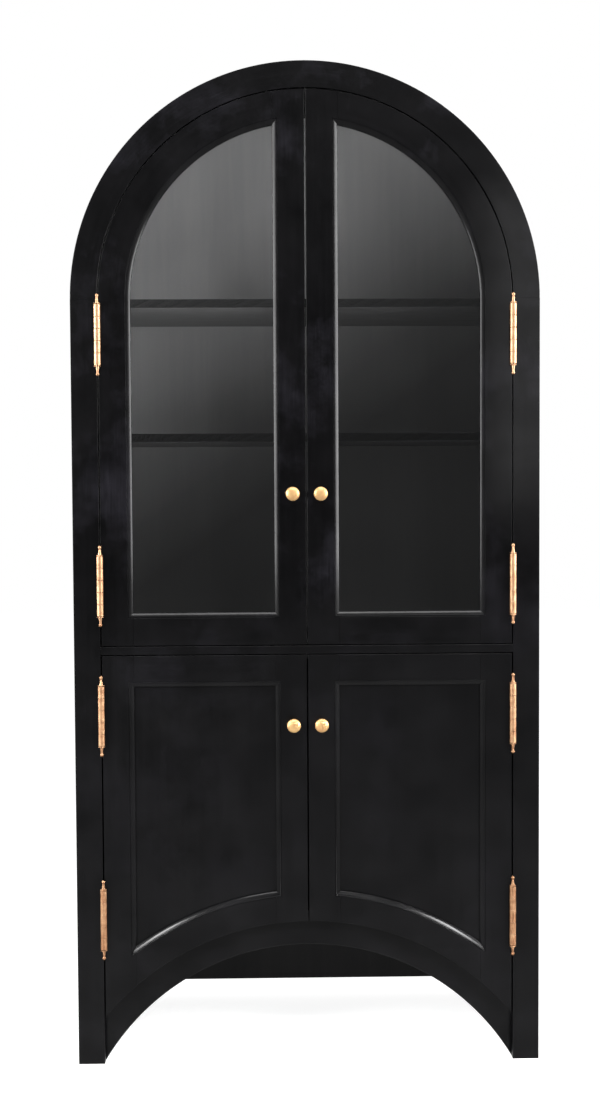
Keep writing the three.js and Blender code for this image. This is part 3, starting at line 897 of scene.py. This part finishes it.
class CURIO_OT_hinges(bpy.types.Operator):
    """Make the leaves, with their knuckles, and the pins with turned finials"""

    bl_idname = "curio.hinges"
    bl_label = "Hinges"

    def leaf(self, fittings, half, radius, out, first):
        """A leaf whose plate lies on the +X side of the axis, with every second knuckle."""
        pitch = (2 * half + fittings.knuckle_gap) / fittings.knuckles
        corner = fittings.leaf_corner
        root = radius + fittings.knuckle_gap
        outline = round_bend((out - corner, -half + corner), (corner, corner), -90, 0, 6)
        outline += round_bend((out - corner, half - corner), (corner, corner), 0, 90, 6)
        rings = bmesh.new()
        for i in reversed(range(fittings.knuckles)):
            low = i * pitch - half
            high = low + pitch - fittings.knuckle_gap
            if (i - first) % 2 == 0:
                outline += [(root, high)] if i < fittings.knuckles - 1 else []
                outline += [((BORE_R + radius) / 2, high), ((BORE_R + radius) / 2, low)]
                outline += [(root, low)] if i > 0 else []
                ring = turned_solid(knuckle_profile(radius, low, high), 40)
                mesh = bpy.data.meshes.new("ring")
                ring.to_mesh(mesh)
                ring.free()
                rings.from_mesh(mesh)
                bpy.data.meshes.remove(mesh)
            elif i in (0, fittings.knuckles - 1):
                outline += [(root, high if i else low)]
        plate = new_object("leaf_plate", extruded(outline, LEAF_CLEARANCE, LEAF_CLEARANCE + LEAF_T))
        knuckles = new_object("leaf_rings", rings)
        modifier = plate.modifiers.new("Join", "BOOLEAN")
        modifier.operation, modifier.solver = "UNION", "EXACT"
        modifier.object = knuckles
        plain_mesh(plate)
        bpy.data.objects.remove(knuckles)
        if not plate.data.polygons:
            raise RuntimeError("a hinge leaf came out empty")
        soft_edges(plate, LEAF_EASE, angle=60)
        smooth(plate)
        mesh = plate.data
        bpy.data.objects.remove(plate)
        return mesh

    def pin(self, half, reach, radius, gap):
        """A pin with a finial at each end."""
        finial = finial_profile(reach - half, radius, gap)
        upper = [(r, half + z) for r, z in finial]
        lower = [(r, -z) for r, z in reversed(upper)]
        obj = smooth(new_object("pin", turned_solid(lower + upper, 40)), 50, weighted=False)
        mesh = obj.data
        bpy.data.objects.remove(obj)
        return mesh

    def execute(self, context):
        fittings = context.scene.curio_fittings
        name, _, _, middle = next(hinge_places())
        pin_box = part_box(f"{name}_pin")
        leaf_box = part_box(f"{name}_frame_leaf")
        half = (leaf_box[1].z - leaf_box[0].z) / 2
        radius = (pin_box[1].x - pin_box[0].x) / 2
        out = leaf_box[1].y - middle.y
        leaves = [self.leaf(fittings, half, radius, out, first) for first in (0, 1)]
        pin = self.pin(half, (pin_box[1].z - pin_box[0].z) / 2, radius, fittings.finial_gap)
        brass = hinge_brass(context)
        for name, door, side, place in hinge_places():
            for part, mesh, way, body in (("frame_leaf", leaves[0], side, "root"),
                                          ("door_leaf", leaves[1], -side, door),
                                          ("pin", pin, side, "root")):
                piece = moved(mesh, f"{name}_{part}_brass", place, way)
                smooth(piece, 40 if part != "pin" else 50, weighted=part != "pin")
                settle(piece, body, "hinge_brass", brass, f"{name}_{part}")
        for mesh in (*leaves, pin):
            bpy.data.meshes.remove(mesh)
        return {"FINISHED"}


# ------------------------------------------------------------------ screws


def screw_tree():
    """Node tree that sets a slotted screw head on every point of a mesh."""
    name = "Slotted screws"
    if name in bpy.data.node_groups:
        return bpy.data.node_groups[name]
    tree = bpy.data.node_groups.new(name, "GeometryNodeTree")
    tree.is_modifier = True
    face = tree.interface
    face.new_socket("Points", in_out="INPUT", socket_type="NodeSocketGeometry")
    for label, default in (("Head Radius", 3.6 * MM), ("Head Height", 1.2 * MM),
                           ("Slot Width", 0.9 * MM), ("Slot Depth", 0.7 * MM)):
        socket = face.new_socket(label, in_out="INPUT", socket_type="NodeSocketFloat")
        socket.default_value = default
    face.new_socket("Seed", in_out="INPUT", socket_type="NodeSocketInt").default_value = 7
    face.new_socket("Material", in_out="INPUT", socket_type="NodeSocketMaterial")
    face.new_socket("Screws", in_out="OUTPUT", socket_type="NodeSocketGeometry")

    def add(kind, inputs=None, **settings):
        return add_node(tree, kind, inputs, **settings)

    def maths(operation, a, b):
        return add("ShaderNodeMath", {0: a, 1: b}, operation=operation).outputs[0]

    given = add("NodeGroupInput").outputs
    radius, height = given["Head Radius"], given["Head Height"]
    head = add("GeometryNodeMeshCylinder", {
        "Vertices": 24, "Radius": radius, "Depth": height})
    sink = maths("MULTIPLY", height, -0.5)
    seated = add("GeometryNodeTransform", {
        "Geometry": head.outputs["Mesh"],
        "Translation": add("ShaderNodeCombineXYZ", {2: sink}).outputs[0]})
    length = maths("MULTIPLY", radius, 3.0)
    deep = maths("MULTIPLY", given["Slot Depth"], 2.0)
    slot = add("GeometryNodeMeshCube", {
        "Size": add("ShaderNodeCombineXYZ", {0: length, 1: given["Slot Width"], 2: deep}
                    ).outputs[0]})
    cut = add("GeometryNodeMeshBoolean", {
        "Mesh 1": seated.outputs[0], "Mesh 2": slot.outputs["Mesh"]},
        operation="DIFFERENCE", solver="EXACT")
    facing = add("GeometryNodeInputNamedAttribute", {"Name": "facing"}, data_type="FLOAT_VECTOR")
    aimed = add("FunctionNodeAlignRotationToVector", {"Vector": facing.outputs["Attribute"]},
                axis="Z")
    turn = add("FunctionNodeRandomValue", {2: 0.0, 3: pi, "Seed": given["Seed"]},
               data_type="FLOAT")
    about = add("FunctionNodeAxisAngleToRotation", {"Axis": (0, 0, 1), "Angle": turn.outputs[1]})
    spun = add("FunctionNodeRotateRotation", {
        "Rotation": aimed.outputs["Rotation"], "Rotate By": about.outputs["Rotation"]},
        rotation_space="LOCAL")
    placed = add("GeometryNodeInstanceOnPoints", {
        "Points": given["Points"], "Instance": cut.outputs["Mesh"],
        "Rotation": spun.outputs["Rotation"]})
    real = add("GeometryNodeRealizeInstances", {"Geometry": placed.outputs["Instances"]})
    painted = add("GeometryNodeSetMaterial", {
        "Geometry": real.outputs["Geometry"], "Material": given["Material"]})
    tree.links.new(painted.outputs["Geometry"], add("NodeGroupOutput").inputs["Screws"])
    return tree


def drive_screws(name, points, body, slot, material, radius, seed):
    """Screws of one body: points are (place, facing) pairs."""
    mesh = bpy.data.meshes.new(name)
    mesh.from_pydata([place for place, _ in points], [], [])
    facing = mesh.attributes.new("facing", "FLOAT_VECTOR", "POINT")
    facing.data.foreach_set("vector", [c for _, way in points for c in way])
    obj = bpy.data.objects.new(name, mesh)
    bpy.context.scene.collection.objects.link(obj)
    modifier = obj.modifiers.new("Screws", "NODES")
    modifier.node_group = screw_tree()
    identifiers = {item.name: item.identifier for item in modifier.node_group.interface.items_tree
                   if item.in_out == "INPUT"}
    modifier[identifiers["Head Radius"]] = radius
    modifier[identifiers["Seed"]] = seed
    modifier[identifiers["Material"]] = material
    plain_mesh(obj)
    if not obj.data.polygons:
        raise RuntimeError(f"{name}: the node tree made no screws")
    settle(smooth(obj, 35, weighted=False), body, slot, material)


class CURIO_OT_hinge_screws(bpy.types.Operator):
    """Drive three slotted screws into every hinge leaf"""

    bl_idname = "curio.hinge_screws"
    bl_label = "Hinge screws"

    def execute(self, context):
        fittings = context.scene.curio_fittings
        points = {}
        for name, door, side, place in hinge_places():
            low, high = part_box(f"{name}_frame_leaf")
            half = (high.z - low.z) / 2
            middle = high.y - SCREW_INSET
            for body, way in (("root", side), (door, -side)):
                for level in SCREW_LEVELS:
                    step = SCREW_STAGGER if level == 0 else 0.0
                    points.setdefault(body, []).append((
                        (place.x + way * HEAD_PROUD, middle + step, place.z + level * half),
                        (-way, 0.0, 0.0)))
        for body, rows in points.items():
            drive_screws(f"{body}_hinge_screws", rows, body, "hinge_brass", hinge_brass(context),
                         fittings.head_radius, fittings.seed)
        return {"FINISHED"}


class CURIO_OT_back_screws(bpy.types.Operator):
    """Drive screws round the edge of the back panel and along its shelves"""

    bl_idname = "curio.back_screws"
    bl_label = "Back panel screws"

    def execute(self, context):
        fittings = context.scene.curio_fittings
        low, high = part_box("back_panel")
        edge, pitch = high.x - BACK_SCREW_INSET, fittings.back_screw_pitch
        run = SPRING_Z - low.z - BACK_SCREW_MARGINS
        places = []
        count = round(run / pitch)
        for i in range(count + 1):
            z = low.z + BACK_SCREW_FOOT + run * i / count
            places += [(edge, z), (-edge, z)]
        turns = round(pi * edge / pitch)
        places += [(edge * cos(pi * i / turns), SPRING_Z + edge * sin(pi * i / turns))
                   for i in range(1, turns)]
        for board in ("base_panel", "deck_panel", "display_shelf_lower", "display_shelf_upper"):
            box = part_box(board)
            z = (box[0].z + box[1].z) / 2
            places += [((i - (SHELF_SCREWS - 1) / 2) * SHELF_SCREW_PITCH, z)
                       for i in range(SHELF_SCREWS)]
        rows = [((x, REAR_Y - BACK_SCREW_SINK, z), (0.0, 1.0, 0.0)) for x, z in places]
        drive_screws("back_panel_screws", rows, "root", "inside_wood", plated_steel(context),
                     fittings.back_head_radius, fittings.seed + 4)
        return {"FINISHED"}


# ------------------------------------------------------------------ knobs and catches

BOLT_PROFILE = ((0, -0.2 * MM), (4.4 * MM, -0.2 * MM), (4.6 * MM, 0.4 * MM), (3.9 * MM, 1.3 * MM),
                (2.4 * MM, 1.9 * MM), (0, 2.0 * MM))


def knob_profile(head, reach):
    """Half section of a knob: round-edged foot, waisted neck and flattened ball."""
    thick, foot, neck, edge = 0.57 * reach, 8.5 * MM, 5.4 * MM, 0.4 * MM
    middle = reach - thick / 2
    pad, waist, steps = 1.6 * MM, middle - thick / 2 - 2.2 * MM, 8
    profile = [(0, 0), (foot - edge, 0)]
    profile += round_bend((foot - edge, 1.0 * MM), (edge, 0.5 * MM), 0, 90, 3)
    profile += [(neck + (foot - neck) * (1 - i / steps) ** 2.2 * 0.85, pad + waist * i / steps)
                for i in range(steps + 1)]
    profile += round_bend((0, middle), (head, thick / 2), -66, 90, 28)[:-1]
    profile.append((0, reach))
    return profile


class CURIO_OT_knobs(bpy.types.Operator):
    """Turn the four knobs and set the bolt that holds each one from behind"""

    bl_idname = "curio.knobs"
    bl_label = "Knobs"

    def execute(self, context):
        brass = knob_brass(context)
        low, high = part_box("display_knob_right")
        profile = knob_profile((high.x - low.x) / 2, high.y - low.y)
        for kind in ("display", "cupboard"):
            for word, _ in SIDES:
                node, body = f"{kind}_knob_{word}", f"{kind}_door_{word}"
                low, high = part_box(node)
                middle_x, middle_z = (low.x + high.x) / 2, (low.z + high.z) / 2
                bm = turned_solid(profile, 64, axis="-Y")
                bmesh.ops.translate(bm, vec=(middle_x, high.y, middle_z), verts=bm.verts)
                settle(smooth(new_object(f"{node}_brass", bm), 50, weighted=False), body,
                       "knob_brass", brass, node)
                bm = turned_solid(BOLT_PROFILE, 24, axis="-Y")
                bmesh.ops.rotate(bm, matrix=Matrix.Rotation(pi, 3, "Z"), verts=bm.verts)
                bmesh.ops.translate(
                    bm, vec=(middle_x, FACE_Y + DOOR_REAR, middle_z), verts=bm.verts)
                settle(smooth(new_object(f"{node}_bolt", bm), 30, weighted=False), body,
                       "knob_brass", plated_steel(context))
        return {"FINISHED"}


class CURIO_OT_catches(bpy.types.Operator):
    """Make the twin magnetic catches, their magnets and the strike plates on the doors"""

    bl_idname = "curio.catches"
    bl_label = "Catches"

    def execute(self, context):
        for kind in ("display", "cupboard"):
            node = f"{kind}_catch"
            eased_board(node, "root", "catch_plastic", moulded_plastic(), CATCH_EASE)
            low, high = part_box(node)
            middle = (low.z + high.z) / 2
            reach = (high.x - low.x) / 4
            outline = rounded_outline(MAGNET_W, MAGNET_H, MAGNET_CORNER)
            for word, side in SIDES:
                for name, front, rear, body in (
                        (f"{kind}_magnet_{word}", low.y - MAGNET_PROUD, low.y + MAGNET_DEPTH,
                         "root"),
                        (f"{kind}_strike_{word}", FACE_Y + DOOR_REAR - HAIR,
                         FACE_Y + DOOR_REAR + STRIKE_T, f"{kind}_door_{word}")):
                    grown = 1.0 if body == "root" else STRIKE_GROWN
                    place = [(side * reach + grown * a, middle + grown * b) for a, b in outline]
                    obj = new_object(name, extruded(place, front, rear, "y"))
                    soft_edges(obj, PLATE_EASE, angle=60)
                    settle(smooth(obj), body, "catch_plastic", plated_steel(context))
        return {"FINISHED"}


# ------------------------------------------------------------------ stage

SKY_TILT = -0.35  # how much the grey levels lean to one side
SKY_LOW, SKY_SPAN = -0.2, 0.8
SKY = ((-0.10, 0.06), (0.0, 0.075), (0.08, 0.12), (0.14, 0.22), (0.20, 0.42), (0.27, 0.64),
       (0.5, 0.45))  # grey by height of the direction
BEHIND_GREY = (0.5, 0.5, 0.5, 1)


class CURIO_OT_stage(bpy.types.Operator):
    """Lay the pale floor and set the softboxes, the surroundings and the camera"""

    bl_idname = "curio.stage"
    bl_label = "Stage"

    def softbox(self, name, place, aim, size, power, spread=180):
        """Rectangular light aimed at a point, spread in degrees."""
        data = bpy.data.lights.new(name, "AREA")
        data.spread = radians(spread)
        data.shape = "RECTANGLE"
        data.size, data.size_y = size
        data.energy = power
        light = bpy.data.objects.new(name, data)
        light.location = place
        light.rotation_mode = "QUATERNION"
        light.rotation_quaternion = (Vector(aim) - Vector(place)).to_track_quat("-Z", "Y")
        bpy.context.scene.collection.objects.link(light)

    def lights(self, stage):
        """Softboxes overhead, on both sides and in front, and lamps that graze the base arcs."""
        aim, wide = (0, -0.3, 1.75), (2.0, 2.1)
        self.softbox("Key softbox", (2.8, -0.7, 1.95), aim, wide, stage.key_power, 80)
        self.softbox("Fill softbox", (-2.8, -0.7, 1.95), aim, wide, stage.fill_power, 80)
        self.softbox("Top softbox", (0.6, -1.3, 4.2), (0.3, 0, 1.2), (4.0, 0.7),
                     stage.top_power, 100)
        self.softbox("Front softbox", (0.9, -2.8, 3.6), (0, 0, 1.3), (1.2, 0.8),
                     stage.front_power)
        for name, way, power in (("Strip softbox right", 0.98, stage.strip_power),
                                 ("Strip softbox left", -1.12, stage.left_strip_power)):
            self.softbox(name, (way, -3.0, 1.85), (0.46 * way, -0.2, 1.55), (0.35, 1.3), power)
        for word, side in SIDES:
            self.softbox(f"Low softbox {word}", (2.05 * side, -2.1, 1.95),
                         (0.3 * side, -0.2, 0.25), (0.6, 0.9), stage.low_power, 24)

    def surroundings(self, scene):
        """Grey studio, dark in front of the doors up to eye level; the camera sees plain white."""
        world = bpy.data.worlds.new("Studio")
        scene.world = world
        world.use_nodes = True
        tree = world.node_tree

        def add(kind, inputs=None, **settings):
            return add_node(tree, kind, inputs, **settings)

        way = add("ShaderNodeTexCoord").outputs["Generated"]
        x, y, z = add("ShaderNodeSeparateXYZ", {0: way}).outputs[:3]
        tilted = add("ShaderNodeMath", {0: x, 1: SKY_TILT, 2: z}, operation="MULTIPLY_ADD")
        height = add("ShaderNodeMapRange", {
            "Value": tilted.outputs[0], "From Min": SKY_LOW, "From Max": SKY_LOW + SKY_SPAN})
        ramp = add("ShaderNodeValToRGB", {0: height.outputs[0]})
        fill_ramp(ramp, [((level - SKY_LOW) / SKY_SPAN, value) for level, value in SKY])
        front = add("ShaderNodeMapRange", {
            "Value": y, "From Min": 0.15, "From Max": -0.35}, interpolation_type="SMOOTHSTEP")
        mixed = add("ShaderNodeMix", {
            0: front.outputs[0], 6: BEHIND_GREY, 7: ramp.outputs["Color"]}, data_type="RGBA")
        seen = add("ShaderNodeMix", {
            0: add("ShaderNodeLightPath").outputs["Is Camera Ray"],
            6: mixed.outputs[2], 7: (1.0, 1.0, 1.0, 1)}, data_type="RGBA")
        tree.links.new(seen.outputs[2], tree.nodes["Background"].inputs["Color"])

    def camera(self, scene, stage):
        """Camera in front of the doors, level with the display case."""
        data = bpy.data.cameras.new("Camera")
        data.sensor_fit = "AUTO"
        data.sensor_width = 36
        data.lens = stage.lens
        data.clip_start, data.clip_end = 0.05, 100
        camera = bpy.data.objects.new("Camera", data)
        yaw, pitch, roll = stage.camera_turn
        turn = (Matrix.Rotation(yaw, 4, "Z") @ Matrix.Rotation(pi / 2 - pitch, 4, "X")
                @ Matrix.Rotation(roll, 4, "Z"))
        camera.matrix_world = Matrix.Translation(stage.camera_place) @ turn
        scene.collection.objects.link(camera)
        scene.camera = camera

    def execute(self, context):
        scene = context.scene
        bm = bmesh.new()
        bmesh.ops.create_grid(bm, x_segments=8, y_segments=8, size=FLOOR_HALF)
        floor = new_object("floor", bm)
        floor.data.materials.append(pale_floor(context))
        self.lights(scene.curio_stage)
        self.surroundings(scene)
        self.camera(scene, scene.curio_stage)
        scene.view_settings.view_transform = "Standard"
        return {"FINISHED"}


# ------------------------------------------------------------------ panel and registration


class CURIO_PT_cabinet(bpy.types.Panel):
    """Sidebar panel with the steps in their order"""

    bl_idname = "CURIO_PT_cabinet"
    bl_label = "Curio cabinet"
    bl_space_type = "VIEW_3D"
    bl_region_type = "UI"
    bl_category = "Cabinet"

    def draw(self, context):
        for step in STEPS:
            self.layout.operator(step.bl_idname)
        for group in (context.scene.curio_sizes, context.scene.curio_fittings,
                      context.scene.curio_colours, context.scene.curio_stage):
            box = self.layout.box()
            for key in group.__annotations__:
                box.prop(group, key)


STEPS = (
    CURIO_OT_carcass,
    CURIO_OT_face_frame,
    CURIO_OT_display_doors,
    CURIO_OT_cupboard_doors,
    CURIO_OT_hinges,
    CURIO_OT_hinge_screws,
    CURIO_OT_back_screws,
    CURIO_OT_knobs,
    CURIO_OT_catches,
    CURIO_OT_stage,
)
GROUPS = (
    ("curio_sizes", CabinetSizes),
    ("curio_fittings", FittingSizes),
    ("curio_colours", FinishColours),
    ("curio_stage", StageSettings),
)


def register():
    for _, group in GROUPS:
        bpy.utils.register_class(group)
    for step in STEPS:
        bpy.utils.register_class(step)
    bpy.utils.register_class(CURIO_PT_cabinet)
    for name, group in GROUPS:
        setattr(bpy.types.Scene, name, bpy.props.PointerProperty(type=group))


def unregister():
    for name, _ in GROUPS:
        delattr(bpy.types.Scene, name)
    bpy.utils.unregister_class(CURIO_PT_cabinet)
    for step in reversed(STEPS):
        bpy.utils.unregister_class(step)
    for _, group in reversed(GROUPS):
        bpy.utils.unregister_class(group)


def main():
    register()
    for step in STEPS:
        getattr(bpy.ops.curio, step.bl_idname.split(".")[1])()


if __name__ == "__main__":
    main()
